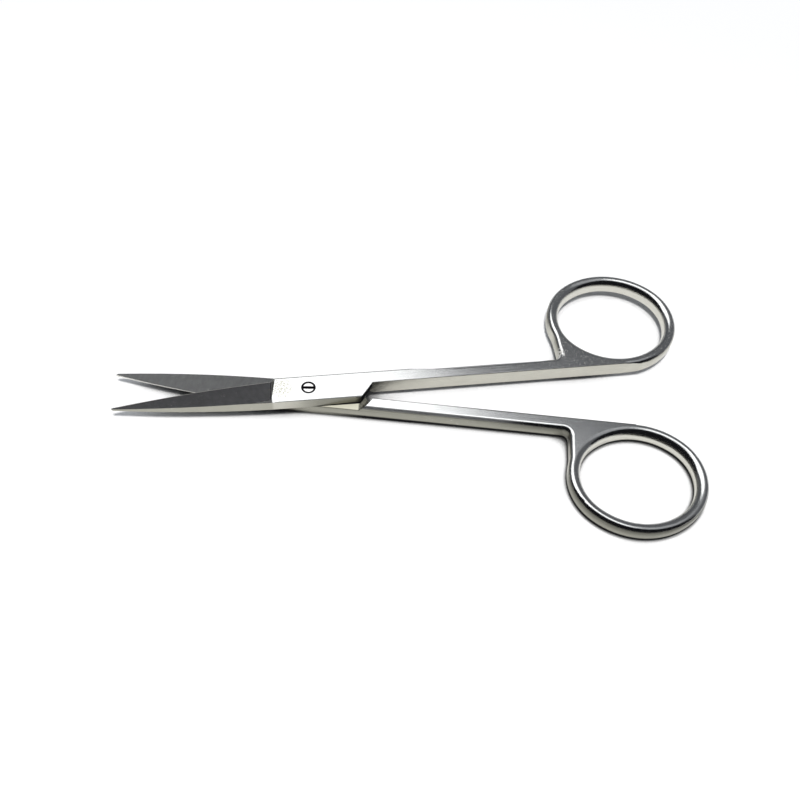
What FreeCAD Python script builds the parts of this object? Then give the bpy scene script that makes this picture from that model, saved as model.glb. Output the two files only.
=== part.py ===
"""Straight iris scissors, 11.5 cm, lying slightly open on a table.

Two forged steel halves cross at a half-lap box and turn on a slotted pivot screw. Each half is
one piece of steel: a tapering bevelled blade, the lap with its slanted shoulder, a straight shank
and an oval finger ring. Both halves come from the same blank, one of them turned over. On each,
the rims that face up are rolled and those that face the table are only chamfered.

Frame: millimetres, origin on the pivot axis at the table, +X towards the rings along the line
that halves the opening, +Z up. Each half is drawn in a frame of its own, with the pivot axis as
Z, the face where the halves touch at Z = 0, +X along its shank and +Y towards its ring.
"""
import FreeCAD, Part

import math
import os
import sys

import Sketcher

SIZES = {
    # the blank that both halves are cut from
    "thickness": 3.3,
    "lap_thickness": 2.3,
    "lap_gap": 0.02,
    "half_angle": 6.15,
    # shank, measured from the closing line where the halves meet
    "closing_gap": 0.05,
    "shank_outer": 2.62,
    "shank_start": 8.6,
    "neck_inset": 0.4,
    "neck_fillet": 1.4,
    "neck_blend": 8.0,
    # finger ring, its hole and how its edges are broken
    "ring_x": 63.53,
    "ring_y": 11.62,
    "ring_long": 11.05,
    "ring_short": 9.63,
    "ring_band": 2.25,
    "ring_tilt": 5.0,
    "inner_roll": 1.3,
    "outer_roll": 0.8,
    "inner_break": 0.6,
    "outer_break": 0.42,
    # half-lap box: the sides, the shoulder that stops the closing and the lap's end
    "box_outer": 2.66,
    "box_inner": 3.1,
    "box_root_inner": 2.92,
    "box_end": 20.0,
    "box_blend": 34.0,
    "crest_near": 12.5,
    "shoulder_slant": 2.5,
    "shoulder_undercut": 1.0,
    "shoulder_reach": 4.0,
    "stop_gap": 0.14,
    # blade plan: where the box ends, the heel, the two long curves and the point
    "root_outer": 6.1,
    "heel_x": 7.0,
    "heel_y": 3.45,
    "root_x": 7.3,
    "point_x": 37.1,
    "point_y": 0.14,
    "nose_edge_back": 0.25,
    "nose_edge_y": 0.04,
    "nose_spine_back": 0.35,
    "nose_spine_y": 0.4,
    "edge_radius": 220.0,
    "spine_radius": 250.0,
    # blade face: a flat that falls from the spine to the cutting edge
    "edge_land": 0.2,
    "bevel_angle": 20.4,
    "edge_angle": 6.0,
    "root_edge": 0.4,
    "root_spine": 1.3,
    "grind_over": 1.5,
    "grind_reach": 9.0,
    "root_fillet": 0.3,
    "root_angle": 26.0,
    # pivot screw
    "head_radius": 1.2,
    "head_depth": 0.9,
    "head_sink": 0.04,
    "rim_break": 0.1,
    "screw_radius": 0.85,
    "run_gap": 0.03,
    "slot_half": 0.22,
    "slot_depth": 0.5,
    "slot_turn": 1.0,
}
TOLERANCE = 1e-4
CREST = ("crest_near", "crest_near - shoulder_slant")
FOOT = tuple(crest + " - shoulder_undercut" for crest in CREST)


def bound(text):
    """Turn a sum of size names into the expression that the sheet answers."""
    words = [w if w in "+-" else "Sizes." + w for w in text.split()]
    return " ".join(words)


def value(text):
    """The same sum as a number, to place geometry before it is constrained."""
    total, sign = 0.0, 1.0
    for word in text.split():
        if word in "+-":
            sign = 1.0 if word == "+" else -1.0
        else:
            total += sign * SIZES[word]
            sign = 1.0
    return total


def make_sheet(doc):
    """Write every size to the spreadsheet, one named cell each."""
    sheet = doc.addObject("Spreadsheet::Sheet", "Sizes")
    for row, (name, number) in enumerate(SIZES.items(), start=1):
        sheet.set("A%d" % row, name)
        sheet.set("B%d" % row, str(number))
        sheet.setAlias("B%d" % row, name)
    doc.recompute()
    return sheet


def origin_plane(body, role):
    """One of the body's own origin planes."""
    return [f for f in body.Origin.OriginFeatures if f.Role == role][0]


def new_sketch(body, name, height=None):
    """A sketch on the body's XY plane, lifted to a named height."""
    sketch = body.newObject("Sketcher::SketchObject", name)
    sketch.AttachmentSupport = [(origin_plane(body, "XY_Plane"), "")]
    sketch.MapMode = "FlatFace"
    if height:
        sketch.setExpression("AttachmentOffset.Base.z", bound(height))
    return sketch


def fix_point(sketch, geometry, end, place):
    """Hold one end of a line or curve at two named distances from the origin."""
    for kind, text in (("DistanceX", place[0]), ("DistanceY", place[1])):
        index = sketch.addConstraint(Sketcher.Constraint(kind, -1, 1, geometry, end, value(text)))
        if text:
            sketch.setExpression("Constraints[%d]" % index, bound(text))


def draw_outline(sketch, corners, curves=None):
    """Closed outline through named corners; curves maps a side's number to its radius name."""
    curves = curves or {}
    points = [FreeCAD.Vector(value(x), value(y), 0) for x, y in corners]
    count = len(points)
    for side in range(count):
        start, end = points[side], points[(side + 1) % count]
        if side in curves:
            radius = value(curves[side])
            chord = end - start
            middle = (start + end) * 0.5
            sagitta = radius - (radius ** 2 - (chord.Length / 2) ** 2) ** 0.5
            outward = FreeCAD.Vector(chord.y, -chord.x, 0).normalize()
            arc = Part.Arc(start, middle + outward * sagitta, end)
            sketch.addGeometry(arc, False)
        else:
            sketch.addGeometry(Part.LineSegment(start, end), False)
    for side in range(count):
        following = (side + 1) % count
        sketch.addConstraint(Sketcher.Constraint("Coincident", side, 2, following, 1))
        fix_point(sketch, side, 1, corners[side])
        if side in curves:
            index = sketch.addConstraint(Sketcher.Constraint("Radius", side, value(curves[side])))
            sketch.setExpression("Constraints[%d]" % index, bound(curves[side]))


def draw_oval(sketch, grow):
    """The ring's hole, grown all round by a named width: four tangent arcs, long way along X."""
    long, short, extra = SIZES["ring_long"], SIZES["ring_short"], value(grow)
    corner = math.hypot(long, short)
    end = (corner - long + short) / 2 * corner / long
    side = (corner + long - short) / 2 * corner / short
    lean = math.degrees(math.atan2(abs(side - short), abs(long - end)))
    for center, radius, first, last in (
            ((long - end, 0), end, -lean, lean), ((0, short - side), side, lean, 180 - lean),
            ((end - long, 0), end, 180 - lean, 180 + lean),
            ((0, side - short), side, 180 + lean, 360 - lean)):
        circle = Part.Circle(FreeCAD.Vector(center[0], center[1], 0), FreeCAD.Vector(0, 0, 1),
                             radius + extra)
        sketch.addGeometry(Part.ArcOfCircle(circle, math.radians(first), math.radians(last)), False)
    names = {"long": "Sizes.ring_long", "short": "Sizes.ring_short",
             "corner": "sqrt(Sizes.ring_long ^ 2 + Sizes.ring_short ^ 2)"}
    end_text = "({corner} - {long} + {short}) / 2 * {corner} / {long}".format(**names)
    side_text = "({corner} + {long} - {short}) / 2 * {corner} / {short}".format(**names)
    for arc in range(4):
        sketch.addConstraint(Sketcher.Constraint("Tangent", arc, 2, (arc + 1) % 4, 1))
        radius, text = ((end, end_text), (side, side_text))[arc % 2]
        index = sketch.addConstraint(Sketcher.Constraint("Radius", arc, radius + extra))
        sketch.setExpression("Constraints[%d]" % index,
                             text + (" + " + bound(grow) if grow else ""))
    for arc, sign in ((0, 1), (2, -1)):
        sketch.addConstraint(Sketcher.Constraint("PointOnObject", arc, 3, -1))
        index = sketch.addConstraint(
            Sketcher.Constraint("DistanceX", -1, 1, arc, 3, sign * (long - end)))
        sketch.setExpression("Constraints[%d]" % index,
                             "%d * (%s - %s)" % (sign, names["long"], end_text))


def add_pad(body, sketch, name, length):
    """Raise a sketch by a named length."""
    pad = body.newObject("PartDesign::Pad", name)
    pad.Profile = sketch
    pad.setExpression("Length", bound(length))
    return pad


def add_pocket(doc, body, sketch, name, length):
    """Cut a sketch upwards by a named length and make sure that it removed steel."""
    before = body.Shape.Volume
    pocket = body.newObject("PartDesign::Pocket", name)
    pocket.Profile = sketch
    pocket.Reversed = True
    pocket.setExpression("Length", bound(length))
    doc.recompute()
    if body.Shape.Volume > before - TOLERANCE:
        sys.exit("pocket %s removed nothing" % name)
    return pocket


def break_edges(doc, body, kind, name, size, chosen):
    """Fillet or Chamfer the edges of the body's last feature that the function chosen picks."""
    base = body.Tip
    names = ["Edge%d" % (i + 1) for i, edge in enumerate(base.Shape.Edges) if chosen(edge)]
    broken = body.newObject("PartDesign::" + kind, name)
    broken.Base = (base, names)
    broken.setExpression({"Fillet": "Radius", "Chamfer": "Size"}[kind], bound(size))
    doc.recompute()


def is_upright(edge):
    """True for a straight edge along Z."""
    first, last = edge.Vertexes[0].Point, edge.Vertexes[-1].Point
    return abs(first.x - last.x) < TOLERANCE and abs(first.y - last.y) < TOLERANCE \
        and abs(first.z - last.z) > TOLERANCE


def rims(shape, height, outer):
    """Edges of the flat face at a named height: round its outside, or round the holes in it."""
    edges = []
    for face in shape.Faces:
        box = face.BoundBox
        if max(abs(box.ZMax - value(height)), abs(box.ZMin - value(height))) < TOLERANCE:
            for wire in face.Wires:
                if wire.isSame(face.OuterWire) == outer:
                    edges.extend(wire.Edges)
    return edges


def add_shank_and_ring(doc, body, turned_over):
    """The part of the half that is as thick as the blank: shank, neck and finger ring."""
    ceiling, floor = "lap_thickness", "lap_thickness - thickness"
    shank = new_sketch(body, "shank_plan", floor)
    uncut = "closing_gap - ring_band"
    neck = "ring_x - ring_long - ring_band + neck_inset"
    draw_outline(shank, [
        ("shank_start", uncut), ("ring_x", uncut), ("ring_x", "ring_y"),
        (neck, "ring_y"), (neck, "shank_outer"), ("shank_start", "shank_outer")])
    add_pad(body, shank, "shank_blank", "thickness")

    def ring_sketch(name):
        sketch = new_sketch(body, name, floor)
        sketch.setExpression("AttachmentOffset.Base.x", bound("ring_x"))
        sketch.setExpression("AttachmentOffset.Base.y", bound("ring_y"))
        sketch.setExpression("AttachmentOffset.Rotation.Angle", "-Sizes.ring_tilt * 1 deg")
        return sketch

    ring = ring_sketch("ring_plan")
    draw_oval(ring, "ring_band")
    add_pad(body, ring, "ring_blank", "thickness")
    doc.recompute()

    neck_x, crotch_y = value(neck), SIZES["shank_outer"]
    break_edges(doc, body, "Fillet", "neck_root", "neck_fillet", lambda e: is_upright(e)
               and abs(e.Vertexes[0].X - neck_x) < TOLERANCE
               and abs(e.Vertexes[0].Y - crotch_y) < TOLERANCE)
    break_edges(doc, body, "Fillet", "neck_flow", "neck_blend", lambda e: is_upright(e)
               and abs(e.Vertexes[0].X - neck_x) < TOLERANCE
               and e.Vertexes[0].Y > crotch_y + SIZES["neck_fillet"] + TOLERANCE)

    hole = ring_sketch("ring_hole_plan")
    draw_oval(hole, "")
    add_pocket(doc, body, hole, "ring_hole", "thickness")

    def add_rim(kind, name, size, height, outer):
        chosen = rims(body.Tip.Shape, height, outer)

        def on_rim(edge):
            box = edge.BoundBox
            on_closing = box.YMax < SIZES["closing_gap"] + TOLERANCE
            on_start = box.XMax < SIZES["shank_start"] + TOLERANCE
            return any(edge.isSame(rim) for rim in chosen) and not (on_closing or on_start)

        break_edges(doc, body, kind, name, size, on_rim)

    shown, hidden = (floor, ceiling) if turned_over else (ceiling, floor)
    add_rim("Fillet", "ring_outer_roll", "outer_roll", shown, True)
    add_rim("Chamfer", "ring_outer_break", "outer_break", hidden, True)
    add_rim("Fillet", "ring_inner_roll", "inner_roll", shown, False)
    add_rim("Chamfer", "ring_inner_break", "inner_break", hidden, False)

    closing = new_sketch(body, "closing_plan", floor)
    ring_end = "ring_x + ring_long + ring_band"
    draw_outline(closing, [
        ("", uncut + " - ring_band"), (ring_end, uncut + " - ring_band"),
        (ring_end, "closing_gap"), ("", "closing_gap")])
    add_pocket(doc, body, closing, "closing_flat", "thickness")


def add_loft_cut(doc, body, name, near, far):
    """Cut the space between two outlines, so that the wall between them leans."""
    before = body.Shape.Volume
    loft = body.newObject("PartDesign::SubtractiveLoft", name)
    loft.Profile = near
    loft.Sections = [far]
    loft.Ruled = True
    doc.recompute()
    if body.Shape.Volume > before - TOLERANCE:
        sys.exit("loft %s removed nothing" % name)


def add_shoulder(doc, body):
    """Leave the leaning shoulder that the other half's lap closes against."""
    outlines = []
    for name, height, (near, far) in (("foot", None, FOOT),
                                      ("crest", "lap_thickness - thickness", CREST)):
        sketch = new_sketch(body, "shoulder_%s_plan" % name, height)
        draw_outline(sketch, [
            ("", "closing_gap - shoulder_reach"), (near, "closing_gap - shoulder_reach"),
            (near, "closing_gap"), (far, "shoulder_reach"), ("", "shoulder_reach")])
        outlines.append(sketch)
    add_loft_cut(doc, body, "shoulder", *outlines)


def add_lap(doc, body):
    """Blade and box as one flat plate above the touching face, with its undercut end."""
    plan = new_sketch(body, "lap_plan")
    near, far = (crest + " - stop_gap" for crest in CREST)
    draw_outline(plan, [
        ("nose_spine_back - point_x", "- nose_spine_y"), ("- root_x", "- box_root_inner"),
        (far, "closing_gap - box_inner"), (near, "closing_gap"),
        ("box_blend", "shank_outer - outer_roll - outer_break"), ("box_end", "shank_outer"),
        ("- root_outer", "box_outer"), ("- heel_x", "heel_y"),
        ("nose_edge_back - point_x", "nose_edge_y"), ("- point_x", "- point_y")],
        {0: "spine_radius", 7: "edge_radius"})
    add_pad(body, plan, "lap", "lap_thickness")
    doc.recompute()
    outlines = []
    for name, height, (near, far) in (("low", None, FOOT),
                                      ("high", "thickness - lap_thickness", CREST)):
        sketch = new_sketch(body, "lap_end_%s_plan" % name, height)
        draw_outline(sketch, [
            (near + " - stop_gap", "closing_gap"), (far + " - stop_gap", "- shoulder_reach"),
            ("box_blend", "- shoulder_reach"), ("box_blend", "closing_gap")])
        outlines.append(sketch)
    add_loft_cut(doc, body, "lap_end", *outlines)


def make_bevel(doc, name):
    """The shape ground off the blade: its floor is the blade face, its end the blade's root."""
    body = doc.addObject("PartDesign::Body", name)
    sketch = new_sketch(body, name + "_plan")
    sketch.setExpression("AttachmentOffset", (
        "placement(vector(-Sizes.heel_x; Sizes.heel_y; Sizes.edge_land);"
        " rotation(vector(0; 0; 1); Sizes.edge_angle)"
        " * rotation(vector(1; 0; 0); -Sizes.bevel_angle))"))
    draw_outline(sketch, [
        ("- point_x", "- grind_reach"), ("- root_spine", "- grind_reach"),
        ("root_edge", "grind_over"), ("- point_x", "grind_over")])
    pad = add_pad(body, sketch, name + "_blank", "grind_reach")
    pad.setExpression("TaperAngle", "Sizes.root_angle * 1 deg")
    doc.recompute()
    corners = [v.Point for v in sketch.Shape.Vertexes]
    right = sorted(corners, key=lambda p: p.x)[2:]

    def on_root_line(edge):
        ends = [v.Point for v in edge.Vertexes]
        return all(min((end - corner).Length for corner in right) < TOLERANCE for end in ends)

    break_edges(doc, body, "Fillet", name + "_root", "root_fillet", on_root_line)
    return body


def make_bore(doc, body, name, radius, height, length):
    """A round hole on the pivot axis, cut upwards from a named height."""
    sketch = new_sketch(body, name + "_plan", height)
    sketch.addGeometry(Part.Circle(FreeCAD.Vector(0, 0, 0), FreeCAD.Vector(0, 0, 1),
                                   value(radius)), False)
    sketch.addConstraint(Sketcher.Constraint("Coincident", 0, 3, -1, 1))
    index = sketch.addConstraint(Sketcher.Constraint("Radius", 0, value(radius)))
    sketch.setExpression("Constraints[%d]" % index, bound(radius))
    add_pocket(doc, body, sketch, name, length)


def make_half(doc, name, turned_over):
    """One half, in the frame of the pivot; the lower half is the same blank turned over. Only its
    rims tell them apart: add_shank_and_ring rolls those that face up."""
    body = doc.addObject("PartDesign::Body", name + "_blank")
    add_shank_and_ring(doc, body, turned_over)
    add_shoulder(doc, body)
    add_lap(doc, body)
    if turned_over:
        make_bore(doc, body, "screw_seat", "screw_radius", None, "lap_thickness")
    else:
        make_bore(doc, body, "screw_bore", "screw_radius + run_gap", None, "lap_thickness")
        make_bore(doc, body, "head_seat", "head_radius + run_gap", "lap_thickness - head_depth",
                  "head_depth")
        seat = rims(body.Tip.Shape, "lap_thickness", False)
        break_edges(doc, body, "Chamfer", "seat_break", "rim_break", lambda e: any(
            e.isSame(rim) and e.BoundBox.XMax < SIZES["head_radius"] * 2 for rim in seat))
    half = doc.addObject("Part::Cut", name)
    half.Base = body
    half.Tool = make_bevel(doc, name + "_bevel")
    lift = "Sizes.lap_thickness" + ("" if turned_over else " + Sizes.lap_gap")
    turn = "rotation(vector(0; 0; 1); %sSizes.half_angle)" % ("-" if turned_over else "")
    if turned_over:
        turn += " * rotation(vector(1; 0; 0); 180)"
    half.setExpression("Placement", "placement(vector(0; 0; %s); %s)" % (lift, turn))
    return half


def make_screw(doc, name):
    """Slotted pivot screw: its head turns in the upper half, its stem is fast in the lower."""
    body = doc.addObject("PartDesign::Body", name)
    profile = body.newObject("Sketcher::SketchObject", "screw_profile")
    profile.AttachmentSupport = [(origin_plane(body, "XZ_Plane"), "")]
    profile.MapMode = "FlatFace"
    top = "lap_thickness + lap_gap + lap_thickness - head_sink"
    seat = "lap_thickness + lap_gap + lap_thickness - head_depth + run_gap"
    draw_outline(profile, [
        ("", ""), ("screw_radius", ""), ("screw_radius", seat), ("head_radius", seat),
        ("head_radius", top + " - rim_break"), ("head_radius - rim_break", top), ("", top)])
    turned = body.newObject("PartDesign::Revolution", "screw_turned")
    turned.Profile = profile
    turned.ReferenceAxis = (profile, ["V_Axis"])
    turned.Angle = 360
    doc.recompute()
    slot = new_sketch(body, "slot_plan", top + " - slot_depth")
    slot.setExpression("AttachmentOffset.Rotation.Angle", "Sizes.slot_turn * 1 deg")
    draw_outline(slot, [
        ("- head_radius", "- slot_half"), ("head_radius", "- slot_half"),
        ("head_radius", "slot_half"), ("- head_radius", "slot_half")])
    add_pocket(doc, body, slot, "slot", "slot_depth")
    return body


def main():
    """Build the three pieces, check them and write one file each."""
    doc = FreeCAD.newDocument("iris_scissors")
    make_sheet(doc)
    pieces = [make_half(doc, "upper_half", False), make_half(doc, "lower_half", True),
              make_screw(doc, "pivot_screw")]
    doc.recompute()
    for thing in doc.Objects:
        if "Invalid" in thing.State or "Error" in thing.State:
            sys.exit("%s failed: %s" % (thing.Label, thing.State))
    os.makedirs("parts", exist_ok=True)
    for piece in pieces:
        shape = piece.Shape
        if shape.isNull() or not shape.isValid() or len(shape.Solids) != 1:
            sys.exit("%s is not one sound solid" % piece.Label)
        shape.exportStep("parts/%s.step" % piece.Label)
        print("%-12s %8.3f mm3" % (piece.Label, shape.Volume), shape.BoundBox)


main()
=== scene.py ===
"""Straight iris scissors, 11.5 cm, lying slightly open on a pale floor.

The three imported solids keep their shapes: the upper half, the lower half and the pivot screw. This
script dresses them in worked steel, lights them as on a photographer's table and places the
camera. Lengths are metres, in the frame of the solids: origin on the pivot axis at the floor, +X
towards the rings, +Z up. The steel's effects are laid out in millimetres in each half's own frame,
with +X along its shank and +Y towards its ring.
"""

import logging
import math
from dataclasses import dataclass, field
from enum import Enum

import bpy
from mathutils import Matrix, Vector


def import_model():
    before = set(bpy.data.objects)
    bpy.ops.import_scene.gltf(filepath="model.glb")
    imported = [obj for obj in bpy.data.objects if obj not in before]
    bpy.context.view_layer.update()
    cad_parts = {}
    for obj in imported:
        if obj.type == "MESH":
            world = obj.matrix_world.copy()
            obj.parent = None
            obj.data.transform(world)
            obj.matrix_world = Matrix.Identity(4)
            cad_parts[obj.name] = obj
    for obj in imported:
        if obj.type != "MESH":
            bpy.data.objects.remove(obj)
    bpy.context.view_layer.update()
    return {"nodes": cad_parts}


LOG = logging.getLogger("iris_scissors")
MM = 0.001
Color = tuple[float, float, float]
Point = tuple[float, float, float]
Span = tuple[float, float]
Socket = bpy.types.NodeSocket


class Side(Enum):
    """Which half of the scissors; the lower one is the same blank turned over."""

    UPPER = "upper_half"
    LOWER = "lower_half"


class Wiring:
    """Adds and joins the nodes of one material, world or effect."""

    def __init__(self, tree: bpy.types.NodeTree) -> None:
        """Start on an empty tree.

        Args:
            tree: the node tree to fill; whatever it holds is cleared.
        """
        self.tree = tree
        tree.nodes.clear()

    def add(self, kind: str, **settings: object) -> bpy.types.Node:
        """Add one node.

        Args:
            kind: the node's type without the ShaderNode prefix.
            settings: properties of the node to set.

        Returns:
            The new node.
        """
        prefix = "" if kind.startswith("NodeGroup") else "ShaderNode"
        node = self.tree.nodes.new(prefix + kind)
        for name, value in settings.items():
            setattr(node, name, value)
        return node

    def feed(self, node: bpy.types.Node, **inputs: object) -> bpy.types.Node:
        """Join sockets to a node's named inputs, or set them to plain values.

        Args:
            node: the node to feed.
            inputs: input names, with _ for a space, and a socket or a value for each.

        Returns:
            The same node.
        """
        for name, value in inputs.items():
            self.put(value, node.inputs[name.replace("_", " ")])
        return node

    def put(self, value: object, socket: bpy.types.NodeSocket) -> None:
        """Join a socket to an input, or set the input's own value.

        Args:
            value: the socket or the plain value.
            socket: the input.
        """
        if isinstance(value, bpy.types.NodeSocket):
            self.tree.links.new(value, socket)
        else:
            socket.default_value = value

    def sum(self, operation: str, *values: object, clamp: bool = False) -> bpy.types.NodeSocket:
        """One Math node.

        Args:
            operation: the node's operation, such as MULTIPLY.
            values: a socket or a number for each input.
            clamp: hold the answer between 0 and 1.

        Returns:
            The answer's socket.
        """
        node = self.add("Math", operation=operation, use_clamp=clamp)
        for socket, value in zip(node.inputs, values):
            self.put(value, socket)
        return node.outputs[0]

    def product(self, *values: object) -> bpy.types.NodeSocket:
        """Several masks multiplied with one another.

        Args:
            values: a socket or a number for each mask.

        Returns:
            The product's socket.
        """
        answer = values[0]
        for value in values[1:]:
            answer = self.sum("MULTIPLY", answer, value)
        return answer

    def step(self, value: object, start: float, end: float) -> bpy.types.NodeSocket:
        """A soft step.

        Args:
            value: the socket that is measured.
            start: where the step is 0.
            end: where it is 1, which may be below start.

        Returns:
            The step's socket.
        """
        node = self.add("MapRange", interpolation_type="SMOOTHSTEP")
        low, high = min(start, end), max(start, end)
        rising = end > start
        self.feed(node, Value=value, From_Min=low, From_Max=high,
                  To_Min=0.0 if rising else 1.0, To_Max=1.0 if rising else 0.0)
        return node.outputs["Result"]

    def blend(self, share: object, first: object, second: object) -> bpy.types.NodeSocket:
        """One colour turning into another.

        Args:
            share: how much of the second colour, 0 to 1.
            first: colour at share 0.
            second: colour at share 1.

        Returns:
            The blended colour's socket.
        """
        node = self.add("Mix", data_type="RGBA")
        self.put(share, node.inputs[0])
        for socket, value in ((node.inputs[6], first), (node.inputs[7], second)):
            self.put((*value, 1.0) if isinstance(value, tuple) else value, socket)
        return node.outputs[2]

    def lerp(self, share: object, first: object, second: object) -> bpy.types.NodeSocket:
        """One number turning into another, as blend does with colours.

        Args:
            share: how much of the second number, 0 to 1.
            first: number at share 0.
            second: number at share 1.

        Returns:
            The blended number's socket.
        """
        node = self.add("Mix", data_type="FLOAT")
        for socket, value in zip((node.inputs[0], node.inputs[2], node.inputs[3]),
                                 (share, first, second)):
            self.put(value, socket)
        return node.outputs[0]

    def effect(self, group: bpy.types.NodeTree, **inputs: object) -> bpy.types.NodeSocket:
        """Place a shared effect and return its first output."""
        node = self.add("Group", node_tree=group)
        return self.feed(node, **inputs).outputs[0]


class Effects:
    """The shader node groups that the finishes share, each built once."""

    def __init__(self) -> None:
        """Build every group."""
        self.grain = self._grain()
        self.speckle = self._speckle()
        self.scratches = self._scratches()
        self.spot = self._spot()
        self.arc_line = self._arc_line()
        self.seam = self._seam()
        self.oval = self._oval()

    def _start(self, name: str, output: str,
               **inputs: object) -> tuple[bpy.types.NodeTree, Wiring, bpy.types.Node]:
        """Open a new group.

        Args:
            name: the group's name.
            output: the name of its one output.
            inputs: input names with the value each starts at; a tuple makes a vector.

        Returns:
            The group, its wiring and its input node.
        """
        tree = bpy.data.node_groups.new(name, "ShaderNodeTree")
        wiring = Wiring(tree)
        for label, value in inputs.items():
            kind = "NodeSocketVector" if isinstance(value, tuple) else "NodeSocketFloat"
            socket = tree.interface.new_socket(name=label, in_out="INPUT", socket_type=kind)
            socket.default_value = value
        tree.interface.new_socket(name=output, in_out="OUTPUT", socket_type="NodeSocketFloat")
        return tree, wiring, wiring.add("NodeGroupInput")

    def _finish(self, wiring: Wiring, answer: bpy.types.NodeSocket) -> bpy.types.NodeTree:
        """Join the answer to the group's output and return the group."""
        wiring.put(answer, wiring.add("NodeGroupOutput").inputs[0])
        return wiring.tree

    def _stretched(self, wiring: Wiring, given: bpy.types.Node, length: object,
                   fineness: object) -> bpy.types.NodeSocket:
        """The vector turned about Z, drawn out along the new X and squeezed across it.

        Args:
            wiring: the group's wiring.
            given: its input node, with Vector and Turn.
            length: how far the pattern is drawn out.
            fineness: how closely it is packed across.

        Returns:
            The changed vector's socket.
        """
        turned = wiring.add("VectorRotate", rotation_type="Z_AXIS")
        wiring.feed(turned, Vector=given.outputs["Vector"], Angle=given.outputs["Turn"])
        scale = wiring.add("CombineXYZ")
        wiring.feed(scale, X=wiring.sum("DIVIDE", 1.0, length), Y=fineness, Z=fineness)
        sized = wiring.add("VectorMath", operation="MULTIPLY")
        wiring.put(turned.outputs[0], sized.inputs[0])
        wiring.put(scale.outputs[0], sized.inputs[1])
        return sized.outputs[0]

    def _grain(self) -> bpy.types.NodeTree:
        """Fine lines left by a belt: noise drawn out along the stroke.

        Returns:
            The group.
        """
        _, wiring, given = self._start("grain", "Lines", Vector=(0.0, 0.0, 0.0), Turn=0.0,
                                       Length=6.0, Fineness=7.0)
        vector = self._stretched(wiring, given, given.outputs["Length"], given.outputs["Fineness"])
        noise = wiring.add("TexNoise")
        wiring.feed(noise, Vector=vector, Scale=1.0, Detail=4.0, Roughness=0.62)
        return self._finish(wiring, noise.outputs[0])

    def _speckle(self) -> bpy.types.NodeTree:
        """Small pits scattered at random; Share sets how many.

        Returns:
            The group.
        """
        _, wiring, given = self._start("speckle", "Mask", Vector=(0.0, 0.0, 0.0), Scale=6.0,
                                       Share=0.3)
        noise = wiring.add("TexNoise")
        wiring.feed(noise, Vector=given.outputs["Vector"], Scale=given.outputs["Scale"],
                    Detail=2.0, Roughness=0.7)
        level = wiring.sum("SUBTRACT", 0.72, wiring.sum("MULTIPLY", 0.3, given.outputs["Share"]))
        above = wiring.sum("SUBTRACT", noise.outputs[0], level)
        return self._finish(wiring, wiring.sum("MULTIPLY", above, 9.0, clamp=True))

    def _scratches(self) -> bpy.types.NodeTree:
        """Thin stray lines at one angle, broken into short lengths.

        Returns:
            The group.
        """
        _, wiring, given = self._start("scratches", "Mask", Vector=(0.0, 0.0, 0.0), Turn=0.0,
                                       Length=9.0, Fineness=2.2, Share=0.5)
        vector = self._stretched(wiring, given, given.outputs["Length"], given.outputs["Fineness"])
        lines = wiring.add("TexNoise")
        wiring.feed(lines, Vector=vector, Scale=1.0, Detail=0.0)
        thin = wiring.step(wiring.sum("ABSOLUTE", wiring.sum("SUBTRACT", lines.outputs[0], 0.5)),
                           0.008, 0.002)
        breaks = wiring.add("TexNoise")
        wiring.feed(breaks, Vector=given.outputs["Vector"], Scale=0.45, Detail=1.0)
        level = wiring.sum("SUBTRACT", 0.75, wiring.sum("MULTIPLY", 0.4, given.outputs["Share"]))
        kept = wiring.sum("MULTIPLY", wiring.sum("SUBTRACT", breaks.outputs[0], level), 12.0,
                          clamp=True)
        return self._finish(wiring, wiring.product(thin, kept))

    def _spot(self) -> bpy.types.NodeTree:
        """A round patch with an uneven rim, 1 at its middle.

        Returns:
            The group.
        """
        _, wiring, given = self._start("spot", "Mask", Vector=(0.0, 0.0, 0.0),
                                       Place=(0.0, 0.0, 0.0), Radius=1.0, Ragged=0.3)
        noise = wiring.add("TexNoise")
        wiring.feed(noise, Vector=given.outputs["Vector"], Scale=1.7, Detail=4.0)
        gap = wiring.add("VectorMath", operation="DISTANCE")
        wiring.put(given.outputs["Vector"], gap.inputs[0])
        wiring.put(given.outputs["Place"], gap.inputs[1])
        share = wiring.sum("DIVIDE", gap.outputs["Value"], given.outputs["Radius"])
        ragged = wiring.sum("MULTIPLY", wiring.sum("SUBTRACT", noise.outputs[0], 0.5),
                            wiring.sum("MULTIPLY", given.outputs["Ragged"], 4.0))
        return self._finish(wiring, wiring.step(wiring.sum("ADD", share, ragged), 1.0, 0.35))

    def _arc_line(self) -> bpy.types.NodeTree:
        """A thin line along a circle seen from above, such as a ground edge.

        Returns:
            The group.
        """
        _, wiring, given = self._start("arc_line", "Mask", Vector=(0.0, 0.0, 0.0),
                                       Center=(0.0, 0.0, 0.0), Radius=100.0, Width=0.2)
        gap = wiring.add("VectorMath", operation="SUBTRACT")
        wiring.put(given.outputs["Vector"], gap.inputs[0])
        wiring.put(given.outputs["Center"], gap.inputs[1])
        parts = wiring.add("SeparateXYZ")
        wiring.put(gap.outputs[0], parts.inputs[0])
        reach = wiring.sum("SQRT", wiring.sum(
            "ADD", wiring.sum("POWER", parts.outputs[0], 2.0),
            wiring.sum("POWER", parts.outputs[1], 2.0)))
        off = wiring.sum("ABSOLUTE", wiring.sum("SUBTRACT", reach, given.outputs["Radius"]))
        return self._finish(wiring, wiring.step(
            wiring.sum("DIVIDE", off, given.outputs["Width"]), 1.0, 0.6))

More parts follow.
